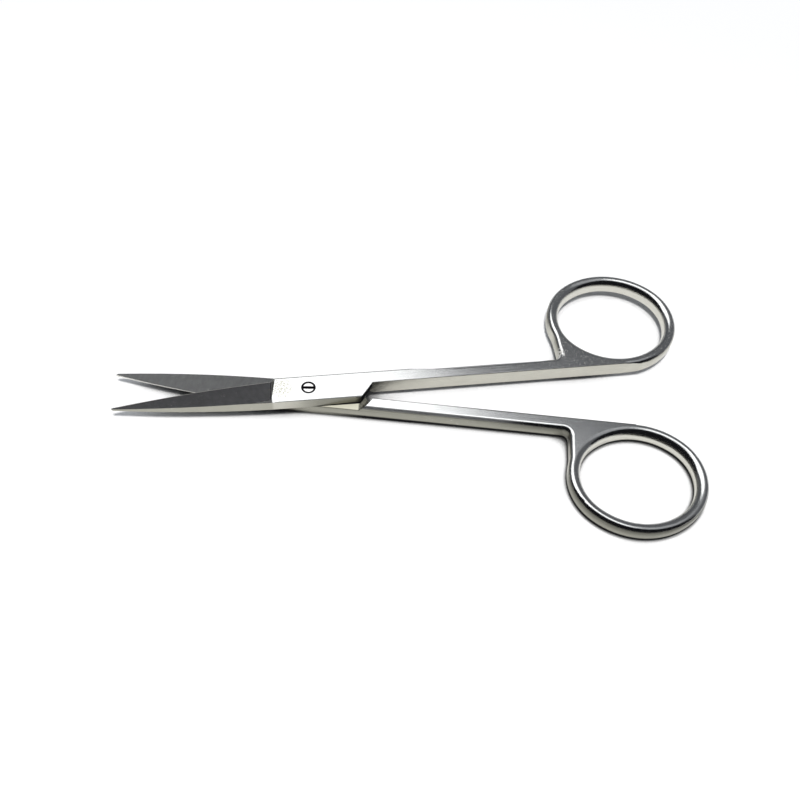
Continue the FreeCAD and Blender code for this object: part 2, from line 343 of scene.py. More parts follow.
    def _seam(self) -> bpy.types.NodeTree:
        """The dark line of old oil round the pivot screw's head.

        Returns:
            The group.
        """
        _, wiring, given = self._start("seam", "Mask", Vector=(0.0, 0.0, 0.0), Radius=1.2,
                                       Width=0.1)
        parts = wiring.add("SeparateXYZ")
        wiring.put(given.outputs["Vector"], parts.inputs[0])
        reach = wiring.sum("SQRT", wiring.sum(
            "ADD", wiring.sum("POWER", parts.outputs[0], 2.0),
            wiring.sum("POWER", parts.outputs[1], 2.0)))
        off = wiring.sum("ABSOLUTE", wiring.sum("SUBTRACT", reach, given.outputs["Radius"]))
        return self._finish(wiring, wiring.step(
            wiring.sum("DIVIDE", off, given.outputs["Width"]), 1.0, 0.5))

    def _oval(self) -> bpy.types.NodeTree:
        """1 inside an oval seen from above, such as a finger hole; Size is its half axes.

        Returns:
            The group.
        """
        _, wiring, given = self._start("oval", "Mask", Vector=(0.0, 0.0, 0.0),
                                       Center=(0.0, 0.0, 0.0), Size=(11.0, 9.6, 1e6))
        gap = wiring.add("VectorMath", operation="SUBTRACT")
        wiring.put(given.outputs["Vector"], gap.inputs[0])
        wiring.put(given.outputs["Center"], gap.inputs[1])
        share = wiring.add("VectorMath", operation="DIVIDE")
        wiring.put(gap.outputs[0], share.inputs[0])
        wiring.put(given.outputs["Size"], share.inputs[1])
        reach = wiring.add("VectorMath", operation="LENGTH")
        wiring.put(share.outputs[0], reach.inputs[0])
        return self._finish(wiring, wiring.step(reach.outputs["Value"], 1.02, 0.98))


@dataclass(frozen=True)
class WorkedSteel:
    """Satin stainless steel of the two halves: tones with painted shade and sheen, polish and the
    marks of making.

    Lengths are millimetres. A name ending in dark is the share of the tone that is left.
    """

    flat: Color = (0.56, 0.57, 0.57)
    hole: Color = (0.62, 0.61, 0.55)
    closing: Color = (0.52, 0.51, 0.45)
    # outside, spine and box side: the same steel in darker tones, painted shade on these walls.
    outside: Color = (0.37, 0.365, 0.31)
    spine_shade: Color = (0.36, 0.355, 0.30)
    box_side_shade: Color = (0.23, 0.226, 0.19)
    # land, ground and inner: the blade's faces in darker tones, painted dark reflections.
    land: Color = (0.05, 0.05, 0.05)
    # lap: the touching face in a pale tone, a painted sheen.
    lap: Color = (0.88, 0.86, 0.70)
    ground: Color = (0.17, 0.17, 0.175)
    inner: Color = (0.32, 0.324, 0.324)
    # honed: bright steel for the honed edge, burr and scratches; on the honed edge it is also a
    # painted highlight.
    honed: Color = (0.80, 0.79, 0.74)
    tarnish: Color = (0.24, 0.235, 0.18)
    # soil: near-black for old oil round the screw and for painted shade in creases and gaps.
    soil_and_shade: Color = (0.012, 0.012, 0.014)
    polish: float = 0.15
    wall_polish: float = 0.3
    ground_polish: float = 0.38
    inner_polish: float = 0.36
    hollow: float = math.radians(11)
    bevel: float = 0.3
    blade_bevel: float = 0.12
    grain_depth: float = 0.004
    grain_strength: float = 0.25
    grain_polish: float = 0.22
    pit_polish: float = 0.06
    lap_polish: float = 0.5
    rim_polish: float = 0.55
    soil_and_shade_polish: float = 0.9
    soil_and_shade_specular: float = 0.1
    raw_metal: float = 0.1
    web_depth: float = 0.6
    nub_height: float = 12.0
    patch_gain: tuple[float, float] = (0.16, 0.6)
    patch_base: tuple[float, float] = (0.92, 0.7)
    web_dark: float = 0.72
    filed_dark: float = 0.3
    filed_lap_dark: tuple[float, float] = (0.26, 0.14)
    shade_dark: float = 0.4
    shade_near: float = 0.45
    recess_shade_dark: float = 0.2
    edge_shade_dark: float = 0.22
    lap_dark: float = 0.7
    spine_share: float = 0.9
    tarnish_share: float = 0.8
    stray_bright: float = 0.5
    speck_bright: float = 0.7


@dataclass(frozen=True)
class ScrewSteel:
    """Bright turned steel of the pivot screw."""

    face: Color = (0.60, 0.60, 0.59)
    # soil: old oil in the rim's seam and painted shade in the slot.
    soil_and_shade: Color = (0.012, 0.012, 0.014)
    polish: float = 0.22
    bevel: float = 0.06


def arc_centre(start: tuple[float, float], end: tuple[float, float], radius: float,
               bulge: int) -> Point:
    """Centre of the arc between two points of a half's plan.

    Args:
        start: the arc's first point.
        end: its last point.
        radius: its radius.
        bulge: 1 if it bulges towards +Y, -1 if towards -Y.

    Returns:
        The centre, at height 0.
    """
    first, last = Vector(start), Vector(end)
    chord = last - first
    across = Vector((-chord.y, chord.x)).normalized()
    if across.y * bulge > 0:
        across = -across
    centre = (first + last) / 2 + across * math.sqrt(radius ** 2 - (chord.length / 2) ** 2)
    return (centre.x, centre.y, 0.0)


@dataclass(frozen=True)
class Spans:
    """Where each mark fades in: 0 at a span's first number, 1 at its second.

    Places are millimetres in a half's own frame, depths are millimetres below the shank's top, and
    leans are parts of the surface's direction. A name ending in from or to gives a mark's start or
    end along the shank.
    """

    wall_lean: Span = (0.75, 0.35)
    down_lean: Span = (-0.8, -0.95)
    outward_lean: Span = (-0.2, 0.2)
    inward_lean: Span = (0.2, -0.2)
    near_side: Span = (-2.0, -2.5)
    blade_from: Span = (-6.7, -7.3)
    slope_from: Span = (-2.0, -4.0)
    slope_lean: Span = (0.5, 0.7)
    slope_top: Span = (0.99, 0.97)
    closing_side: Span = (0.5, 0.2)
    rolled_from: Span = (34.0, 52.0)
    rolled_lean: Span = (0.9, 0.3)
    belly_outside_depth: Span = (2.0, 0.5)
    belly_hole_depth: Span = (2.5, 0.8)
    belly_hole_from: Span = (57.0, 66.0)
    shade_depth: Span = (2.9, 0.6)
    shade_from: Span = (30.0, 46.0)
    lap_end_lean: Span = (0.4, 0.6)
    lap_end_from: Span = (8.0, 9.0)
    lap_end_to: Span = (14.0, 13.0)
    lap_face_from: Span = (-4.0, -1.0)
    lap_face_height: Span = (0.2, 0.1)
    filed_lap_from: Span = (9.7, 10.1)
    land_lean: Span = (0.96, 0.99)
    land_from: Span = (-6.9, -7.2)
    rim_from: Span = (8.0, 12.0)
    rim_to: Span = (44.0, 36.0)
    rim_top: Span = (0.99, 0.95)
    rim_wall: Span = (0.15, 0.35)
    line_lean: Span = (0.8, 0.95)
    line_from: Span = (-7.0, -6.0)
    outer_line: Span = (2.40, 2.54)
    outer_line_to: Span = (48.0, 40.0)
    closing_line: Span = (0.24, 0.12)
    closing_line_from: Span = (12.0, 12.5)
    spine_line: Span = (-2.72, -2.84)
    underside_depth: Span = (2.3, 2.7)
    underside_from: Span = (0.0, 12.0)
    joint_from: Span = (0.0, 2.0)
    joint_height: Span = (0.22, 0.1)
    recess_from: Span = (3.0, 10.5)
    recess_height: Span = (1.6, -0.2)
    foot_from: Span = (-5.5, -6.0)
    foot_to: Span = (-8.5, -8.0)
    foot_lean: Span = (-0.06, -0.2)
    foot_steep: Span = (-0.7, -0.45)
    foot_up: Span = (0.4, 0.6)
    filed_from: Span = (8.6, 9.0)
    filed_to: Span = (17.0, 12.0)
    filed_lean: Span = (0.95, 0.85)
    stroke: Span = (0.46, 0.54)
    web_from: Span = (28.0, 44.0)
    speck_from: Span = (40.0, 50.0)
    speck_lean: Span = (0.9, 0.97)
    seam_height: Span = (1.0, 1.2)
    box_side_shade_from: Span = (-6.0, 3.0)
    rounded_from: Span = (22.0, 40.0)


@dataclass
class Half:
    """One half of the scissors; the sizes are those of its blank, in millimetres."""

    side: Side
    finish: WorkedSteel
    spans: Spans
    belly: tuple[float, float]
    turn: float = math.radians(6.15)
    touching: float = 2.3
    gap: float = 0.02
    thickness: float = 3.3
    heel: tuple[float, float] = (-7.0, 3.45)
    edge_nose: tuple[float, float] = (-36.85, 0.04)
    edge_radius: float = 220.0
    edge_width: float = 0.16
    head_radius: float = 1.2
    seam_width: float = 0.26
    crotch: Point = (50.7, 4.0, 1.9)
    crotch_radius: float = 1.5
    tarnished: Point = (-5.2, 0.2, 2.3)
    tarnish_radius: float = 3.0
    ring: Point = (63.53, 11.62, 0.0)
    ring_wall: Point = (12.2, 10.8, 1e6)
    lap_rise: float = 0.055

    @property
    def upper(self) -> bool:
        """True for the half that lies as drawn."""
        return self.side is Side.UPPER

    @property
    def flip(self) -> float:
        """1 for the half that lies as drawn, -1 for the one that is turned over."""
        return 1.0 if self.upper else -1.0

    def own_frame(self, wiring: Wiring) -> tuple[Socket, Socket]:
        """Place and direction in the half's own frame.

        Args:
            wiring: the material's wiring.

        Returns:
            The place in millimetres, and the surface's direction.
        """
        coordinates = wiring.add("TexCoord")
        flip = self.flip
        lift = -(self.touching + self.gap) if self.upper else self.touching
        placed = wiring.add("Mapping", vector_type="POINT")
        wiring.feed(placed, Vector=coordinates.outputs["Object"], Location=(0, 0, lift),
                    Rotation=(0, 0, -self.turn), Scale=(1 / MM, flip / MM, flip / MM))
        facing = wiring.add("Mapping", vector_type="VECTOR")
        wiring.feed(facing, Vector=coordinates.outputs["Normal"],
                    Rotation=(0, 0, -self.turn), Scale=(1, flip, flip))
        return placed.outputs[0], facing.outputs[0]

    def dress(self, node: bpy.types.Object, effects: Effects) -> None:
        """Give the half its steel.

        Args:
            node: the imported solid.
            effects: the shared shader groups.
        """
        finish = self.finish
        material = bpy.data.materials.new("worked_steel_" + self.side.name.lower())
        material.use_nodes = True
        wiring = Wiring(material.node_tree)
        marks = Marks(self, wiring, effects)
        # The lap face and the burr are nearly non-metallic; on the lap face this turns its pale tone
        # into a painted sheen.
        metal = wiring.lerp(wiring.sum("MAXIMUM", marks.raw, marks.sheen_lap_face), 1.0,
                            finish.raw_metal)
        shader = wiring.feed(
            wiring.add("BsdfPrincipled"), Base_Color=self._color(wiring, marks),
            Normal=self._normal(wiring, marks), Metallic=wiring.lerp(marks.soiled_and_shaded, metal, 0.0),
            Roughness=self._roughness(wiring, marks),
            Specular_IOR_Level=wiring.lerp(marks.soiled_and_shaded, 0.5, finish.soil_and_shade_specular))
        wiring.put(shader.outputs[0], wiring.add("OutputMaterial").inputs[0])
        put_on(node, material)

    def _color(self, wiring: Wiring, marks: "Marks") -> Socket:
        """The steel's colour: region tones with painted shade and sheen, dulled, scratched, oiled
        and painted darker in creases and gaps.

        Args:
            wiring: the material's wiring.
            marks: the half's masks.

        Returns:
            The colour's socket.
        """
        finish, spans = self.finish, self.spans
        # Walls take region tones; the outer walls, the blade's walls and the box side are darker as
        # painted shade.
        sides = wiring.blend(marks.in_hole, finish.closing, finish.hole)
        sides = wiring.blend(marks.outside, sides, finish.outside)
        sides = wiring.blend(wiring.product(marks.on_blade, finish.spine_share), sides,
                             finish.spine_shade)
        # The upper half's near box wall in a darker tone: painted shade.
        if self.upper:
            sides = wiring.blend(wiring.product(marks.near_wall, wiring.step(
                marks.x, *spans.box_side_shade_from)), sides, finish.box_side_shade)
        color = wiring.blend(marks.wall, finish.flat, sides)
        # The land, ground and inner faces take darker tones as painted dark reflections; the lap
        # face takes a pale painted sheen.
        for mask, tone in ((marks.land, finish.land), (marks.sheen_lap_face, finish.lap),
                           (marks.slope, finish.ground), (marks.inside, finish.inner)):
            color = wiring.blend(mask, color, tone)
        dulled = self._dulled(wiring, marks)
        shade = wiring.add("CombineColor")
        for socket in shade.inputs[:3]:
            wiring.put(dulled, socket)
        tinted = wiring.add("Mix", data_type="RGBA", blend_type="MULTIPLY")
        for socket, value in zip((tinted.inputs[0], tinted.inputs[6], tinted.inputs[7]),
                                 (1.0, color, shade.outputs[0])):
            wiring.put(value, socket)
        # Honed edge, burr and scratches in bright steel; on the honed edge this is partly a painted
        # highlight.
        bright = wiring.sum("MAXIMUM", wiring.sum("MAXIMUM", marks.edge, marks.raw),
                            wiring.sum("MULTIPLY", marks.stray, finish.stray_bright))
        color = wiring.blend(bright, tinted.outputs[2], finish.honed)
        color = wiring.blend(wiring.product(marks.tarnish, marks.fine_pits,
                                            finish.tarnish_share), color, finish.tarnish)
        return wiring.blend(marks.soiled_and_shaded, color, finish.soil_and_shade)

    def _dulled(self, wiring: Wiring, marks: "Marks") -> Socket:
        """How much of the tone is left: patches, pits, filed strokes, painted shade on walls and in
        the recess, and painted shade lines.

        Args:
            wiring: the material's wiring.
            marks: the half's masks.

        Returns:
            The factor's socket.
        """
        finish = self.finish
        dulled = wiring.sum(
            "MULTIPLY_ADD", wiring.lerp(marks.ground, marks.cloud, marks.smudges),
            wiring.lerp(marks.ground, *finish.patch_gain),
            wiring.lerp(marks.ground, *finish.patch_base))
        darker = [(marks.webbed, finish.web_dark),
                  (wiring.product(marks.filed, marks.strokes_filed), finish.filed_dark),
                  (marks.shaded, finish.shade_dark)]
        if self.upper:
            # Painted shade in the recess on the upper half's near wall.
            darker.append((marks.recess_shade, finish.recess_shade_dark))
        darker += [(marks.painted_edge_shade, finish.edge_shade_dark),
                   (wiring.product(marks.sheen_lap_face, marks.pits), finish.lap_dark),
                   (marks.filed_lap, wiring.lerp(marks.strokes_filed, *finish.filed_lap_dark))]
        for mask, left in darker:
            dulled = wiring.sum("MULTIPLY", dulled, wiring.lerp(mask, 1.0, left))
        return dulled

    def _roughness(self, wiring: Wiring, marks: "Marks") -> Socket:
        """How matt each region is, with the belt's lines in it.

        Args:
            wiring: the material's wiring.
            marks: the half's masks.

        Returns:
            The roughness's socket.
        """
        finish = self.finish
        rough = wiring.lerp(marks.wall, finish.polish, finish.wall_polish)
        for mask, polish in ((marks.slope, finish.ground_polish),
                             (marks.inside, finish.inner_polish),
                             (marks.sheen_lap_face, finish.lap_polish),
                             (marks.shank_rim, finish.rim_polish)):
            rough = wiring.lerp(mask, rough, polish)
        rough = wiring.sum("ADD", rough, wiring.sum(
            "MULTIPLY", wiring.sum("SUBTRACT", marks.strokes, 0.5), finish.grain_polish))
        rough = wiring.sum("ADD", rough, wiring.sum("MULTIPLY", marks.pits, finish.pit_polish))
        return wiring.lerp(marks.soiled_and_shaded, rough, finish.soil_and_shade_polish)

    def _normal(self, wiring: Wiring, marks: "Marks") -> Socket:
        """The surface's direction: broken edges, hollow blades, swelling ring and fine relief.

        Args:
            wiring: the material's wiring.
            marks: the half's masks.

        Returns:
            The direction's socket.
        """
        finish = self.finish
        height = wiring.lerp(marks.ground, marks.strokes, marks.cross_strokes)
        height = wiring.sum("SUBTRACT", height, wiring.sum(
            "MULTIPLY", marks.webbed, finish.web_depth))
        height = wiring.sum("ADD", height, wiring.product(marks.filed, marks.strokes_filed))
        height = wiring.sum("ADD", height, wiring.product(marks.nub, finish.nub_height))
        rounded = wiring.feed(wiring.add("Bevel", samples=6), Radius=wiring.lerp(
            wiring.step(marks.x, *self.spans.rounded_from), finish.blade_bevel * MM,
            finish.bevel * MM))
        lengthwise = wiring.add("VectorTransform", vector_type="VECTOR", convert_from="OBJECT",
                                convert_to="WORLD")
        wiring.feed(lengthwise, Vector=(math.cos(self.turn), self.flip * math.sin(self.turn), 0.0))
        hollow = wiring.feed(wiring.add("VectorRotate", rotation_type="AXIS_ANGLE"),
                             Vector=rounded.outputs[0], Axis=lengthwise.outputs[0],
                             Angle=wiring.sum("MULTIPLY", marks.inside, -finish.hollow))
        lifted = wiring.add("CombineXYZ")
        wiring.feed(lifted, Z=marks.belly)
        bulging = wiring.add("VectorMath", operation="ADD")
        wiring.put(hollow.outputs[0], bulging.inputs[0])
        wiring.put(lifted.outputs[0], bulging.inputs[1])
        bulge = wiring.add("VectorMath", operation="NORMALIZE")
        wiring.put(bulging.outputs[0], bulge.inputs[0])
        bump = wiring.feed(wiring.add("Bump"), Height=height, Strength=finish.grain_strength,
                           Distance=finish.grain_depth * MM, Normal=bulge.outputs[0])
        return bump.outputs[0]


class Marks:
    """Where everything lies on one half's steel, as masks from 0 to 1."""

    def __init__(self, half: Half, wiring: Wiring, effects: Effects) -> None:
        """Read the half's own frame and build every mask.

        Args:
            half: the half that the steel is for.
            wiring: the material's wiring.
            effects: the shared shader groups.
        """
        self.half, self.wiring, self.effects, self.spans = half, wiring, effects, half.spans
        self.place, facing = half.own_frame(wiring)
        parts, turns = wiring.add("SeparateXYZ"), wiring.add("SeparateXYZ")
        wiring.put(self.place, parts.inputs[0])
        wiring.put(facing, turns.inputs[0])
        self.x, self.y, self.z = parts.outputs
        self.along, self.across, self.up = turns.outputs
        self.level = wiring.sum("ABSOLUTE", self.up)
        self.depth = wiring.sum("SUBTRACT", half.touching, self.z) if half.upper \
            else wiring.sum("ADD", self.z, half.thickness - half.touching)
        self._regions()
        self._rims()
        self._patterns()
        self._dirt()

    def _on(self, value: Socket, span: Span) -> Socket:
        """A soft step over one span."""
        return self.wiring.step(value, *span)

    def _regions(self) -> None:
        """The faces of the half: blade, walls, ring, lap and shoulder."""
        spans, product, total = self.spans, self.wiring.product, self.wiring.sum
        self.wall = self._on(self.level, spans.wall_lean)
        self.near_wall = product(self.wall, self._on(self.y, spans.near_side))
        self.on_blade = self._on(self.x, spans.blade_from)
        self.slope = product(self._on(self.x, spans.slope_from),
                             self._on(self.up, spans.slope_lean),
                             self._on(self.up, spans.slope_top))
        self.inside = product(self.on_blade, self._on(self.up, spans.down_lean))
        self.ground = total("MAXIMUM", self.slope, self.inside)
        self.in_hole = self.wiring.effect(self.effects.oval, Vector=self.place,
                                          Center=self.half.ring, Size=self.half.ring_wall)
        self.outside = product(self._on(self.across, spans.outward_lean),
                               total("SUBTRACT", 1.0, self.in_hole))
        # The lap face, which gets a pale painted sheen.
        self.sheen_lap_face = product(self._on(self.up, spans.down_lean),
                                self._on(self.x, spans.lap_face_from),
                                self._on(total("ABSOLUTE", self.z), spans.lap_face_height))
        self.filed_lap = product(self.sheen_lap_face, self._on(self.x, spans.filed_lap_from))
        self.land = product(self._on(self.up, spans.land_lean), self._on(self.x, spans.land_from))
        self.filed = product(self._on(self.x, spans.filed_from), self._on(self.x, spans.filed_to),
                             self._on(self.level, spans.filed_lean),
                             self._on(self.across, spans.inward_lean))

    def _rims(self) -> None:
        """The rolled rims, the painted shade on the outer wall and the painted shade lines along the
        edges.
        """
        spans, product, total = self.spans, self.wiring.product, self.wiring.sum
        closing = product(self._on(self.y, spans.closing_side),
                          self._on(self.across, spans.down_lean))
        rolled = product(self._on(self.x, spans.rolled_from),
                         self._on(self.level, spans.rolled_lean), total("SUBTRACT", 1.0, closing))
        in_belly, out_belly = self.half.belly
        self.belly = product(rolled, self.wiring.lerp(
            self.in_hole, product(self._on(self.depth, spans.belly_outside_depth), out_belly),
            product(self._on(self.depth, spans.belly_hole_depth),
                    self._on(self.x, spans.belly_hole_from), in_belly)))
        self.shaded = product(self.outside, self.wall, self._on(self.depth, spans.shade_depth),
                              self.wiring.lerp(self._on(self.x, spans.shade_from),
                                               self.half.finish.shade_near, 1.0))
        self.shank_rim = product(self.outside, self._on(self.x, spans.rim_to),
                                 self._on(self.level, spans.rim_top),
                                 self._on(self.level, spans.rim_wall),
                                 self._on(self.x, spans.rim_from))
        # Painted shade lines along the outer, closing and spine edges.
        outer_line = product(self._on(self.y, spans.outer_line),
                             self._on(self.x, spans.outer_line_to),
                             self._on(self.x, spans.line_from))
        closing_line = product(self._on(self.y, spans.closing_line),
                               self._on(self.x, spans.closing_line_from))
        spine_line = product(self._on(self.y, spans.spine_line), self._on(self.x, spans.line_from))
        self.painted_edge_shade = product(self._on(self.level, spans.line_lean), total(
            "MAXIMUM", outer_line, total("MAXIMUM", closing_line, spine_line)))

    def _patterns(self) -> None:
        """The belt's lines, filed strokes, pits, scratches, honed edge with a painted highlight, and
        bare burr.
        """
        half, spans, product = self.half, self.spans, self.wiring.product
        effect, effects, place = self.wiring.effect, self.effects, self.place
        slanted = self.wiring.add("CombineXYZ")
        self.wiring.feed(slanted, X=self.x, Y=self.wiring.sum("ADD", self.y, self.z))
        self.strokes = effect(effects.grain, Vector=place)
        self.cross_strokes = effect(effects.grain, Vector=place, Turn=math.radians(82),
                                    Length=5.0, Fineness=4.5)
        self.strokes_filed = self._on(effect(
            effects.grain, Vector=slanted.outputs[0], Turn=math.radians(-42), Length=2.5,
            Fineness=3.6), spans.stroke)
        self.pits = effect(effects.speckle, Vector=place)
        self.fine_pits = effect(effects.speckle, Vector=place, Scale=3.0, Share=0.9)
        self.webbed = product(self.pits, self._on(self.x, spans.web_from))
        cloud = self.wiring.feed(self.wiring.add("TexNoise"), Vector=place, Scale=0.35, Detail=3.0)
        self.cloud = cloud.outputs[0]
        self.smudges = effect(effects.grain, Vector=place, Turn=math.radians(80), Length=2.2,
                              Fineness=1.1)
        self.stray = effect(effects.scratches, Vector=place, Turn=math.radians(24))
        # The honed line along the cutting edge; its bright tone is partly a painted highlight.
        self.edge = product(effect(
            effects.arc_line, Vector=place, Width=half.edge_width, Radius=half.edge_radius,
            Center=arc_centre(half.heel, half.edge_nose, half.edge_radius, 1)), self.on_blade)
        self.nub = product(effect(effects.spot, Vector=place, Place=half.crotch,
                                  Radius=half.crotch_radius), self.fine_pits)
        specks = product(effect(effects.speckle, Vector=place, Scale=4.0, Share=0.4),
                         self._on(self.x, spans.speck_from), self._on(self.up, spans.speck_lean))
        self.raw = self.wiring.sum("MAXIMUM", self.nub, self.wiring.sum(
            "MULTIPLY", specks, half.finish.speck_bright))
        self.tarnish = effect(effects.spot, Vector=place, Place=half.tarnished,
                              Radius=half.tarnish_radius, Ragged=0.5)

    def _dirt(self) -> None:
        """Old oil round the screw, and painted shade at the blade's foot, in the joint, on the lap's
        end and low on the lower half's walls.
        """
        half, spans, product, total = self.half, self.spans, self.wiring.product, self.wiring.sum
        under_lap = total("SUBTRACT", self.z, total("MULTIPLY", self.x, half.lap_rise))
        # Painted shade low on the upper half's near wall, where it overhangs the lower half.
        self.recess_shade = product(self._on(self.x, spans.recess_from), self.near_wall,
                              self._on(under_lap, spans.recess_height))
        seam = product(self.wiring.effect(self.effects.seam, Vector=self.place,
                                          Radius=half.head_radius, Width=half.seam_width),
                       self._on(self.z, spans.seam_height))
        # Painted shade in the crease at the blade's foot.
        foot_shade = product(self._on(self.x, spans.foot_from), self._on(self.x, spans.foot_to),
                       self._on(self.along, spans.foot_lean),
                       self._on(self.along, spans.foot_steep), self._on(self.up, spans.foot_up))
        self.soiled_and_shaded = total("MAXIMUM", seam, foot_shade)
        if half.upper:
            # Painted shadow in the joint under the upper half's near wall.
            joint_shadow = product(self._on(self.x, spans.joint_from), self.near_wall,
                            self._on(under_lap, spans.joint_height))
            # Painted shade on the lap's undercut end.
            lap_end_shade = product(self._on(self.along, spans.lap_end_lean),
                              self._on(self.x, spans.lap_end_from),
                              self._on(self.x, spans.lap_end_to))
            more = (joint_shadow, lap_end_shade)
        else:
            # Painted shade along the bottom of the lower half's walls.
            more = (product(self._on(self.depth, spans.underside_depth), self.wall,
                            self._on(self.x, spans.underside_from)),)
        for mask in more:
            self.soiled_and_shaded = total("MAXIMUM", self.soiled_and_shaded, mask)


@dataclass
class PivotScrew:
    """The slotted screw that the halves turn on; sizes in millimetres."""

    finish: ScrewSteel
    head_radius: float = 1.2
    top: float = 4.58
    slot_half: float = 0.22

    def dress(self, node: bpy.types.Object, effects: Effects) -> None:
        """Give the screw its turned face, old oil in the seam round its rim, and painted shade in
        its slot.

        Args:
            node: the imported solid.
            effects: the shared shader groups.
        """
        finish = self.finish
        material = bpy.data.materials.new("turned_screw_steel")
        material.use_nodes = True
        wiring = Wiring(material.node_tree)
        coordinates = wiring.add("TexCoord")
        placed = wiring.feed(wiring.add("Mapping"), Vector=coordinates.outputs["Object"],
                             Scale=(1 / MM, 1 / MM, 1 / MM)).outputs[0]
        parts = wiring.add("SeparateXYZ")
        wiring.put(placed, parts.inputs[0])
        rim = wiring.effect(effects.seam, Vector=placed, Radius=self.head_radius, Width=0.26)
        # The slot's floor and sides are dark as painted shade; the rim's seam is old oil.
        sunk = wiring.step(parts.outputs[2], self.top - 0.02, self.top - 0.12)
        strokes = wiring.effect(effects.grain, Vector=placed, Turn=math.radians(70), Length=2.5,
                                Fineness=9.0)
        beside = wiring.step(wiring.sum("ABSOLUTE", parts.outputs[1]), self.slot_half + 0.14,
                             self.slot_half + 0.04)
        soiled_and_shaded = wiring.sum("MAXIMUM", rim, wiring.sum("MAXIMUM", sunk, beside))
        color = wiring.blend(soiled_and_shaded, finish.face, finish.soil_and_shade)
        rough = wiring.sum("MULTIPLY_ADD", strokes, 0.2, finish.polish - 0.1)
        rounded = wiring.feed(wiring.add("Bevel", samples=6), Radius=finish.bevel * MM)
        bump = wiring.feed(wiring.add("Bump"), Height=strokes, Strength=0.3, Distance=0.003 * MM,
                           Normal=rounded.outputs[0])
        shader = wiring.feed(
            wiring.add("BsdfPrincipled"), Base_Color=color, Normal=bump.outputs[0],
            Metallic=wiring.lerp(soiled_and_shaded, 1.0, 0.0), Roughness=rough,
            Specular_IOR_Level=wiring.lerp(soiled_and_shaded, 0.5, 0.1))
        wiring.put(shader.outputs[0], wiring.add("OutputMaterial").inputs[0])
        put_on(node, material)


def put_on(node: bpy.types.Object, material: bpy.types.Material) -> None:
    """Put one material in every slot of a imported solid."""
    if not node.material_slots:
        node.data.materials.append(material)
    for slot in node.material_slots:
        slot.material = material


@dataclass(frozen=True)
class Screen:
    """A curved screen beside the table that only the steel reflects; angles in degrees."""

    name: str
    around: tuple[float, float]
    height: tuple[float, float]
    tone: Color
    distance: float = 1.0
    lean: float = 0.0
    steps: int = 16

    def build(self) -> bpy.types.Object:
        """Make the screen as a patch of a large sphere.

        Returns:
            The screen's object.
        """
        points, faces = [], []
        for row in range(self.steps + 1):
            rise = math.radians(self.height[0] + (self.height[1] - self.height[0])
                                * row / self.steps)
            for column in range(self.steps + 1):
                slant = self.lean * (self.height[1] - self.height[0]) * row / self.steps
                angle = math.radians(self.around[0] + slant + (
                    self.around[1] - self.around[0] - slant) * column / self.steps)
                points.append((self.distance * math.cos(rise) * math.cos(angle),
                               self.distance * math.cos(rise) * math.sin(angle),
                               self.distance * math.sin(rise)))
        width = self.steps + 1
        for row in range(self.steps):
            for column in range(self.steps):
                corner = row * width + column
                faces.append((corner, corner + 1, corner + width + 1, corner + width))
        mesh = bpy.data.meshes.new(self.name)
        mesh.from_pydata(points, [], faces)
        screen = bpy.data.objects.new(self.name, mesh)
        bpy.context.scene.collection.objects.link(screen)
        material = bpy.data.materials.new(self.name)
        material.use_nodes = True
        wiring = Wiring(material.node_tree)
        glow = wiring.feed(wiring.add("Emission"), Color=(*self.tone, 1.0), Strength=1.0)
        wiring.put(glow.outputs[0], wiring.add("OutputMaterial").inputs[0])
        mesh.materials.append(material)
        for kind in ("camera", "diffuse", "transmission", "volume_scatter", "shadow"):
            setattr(screen, "visible_" + kind, False)
        return screen


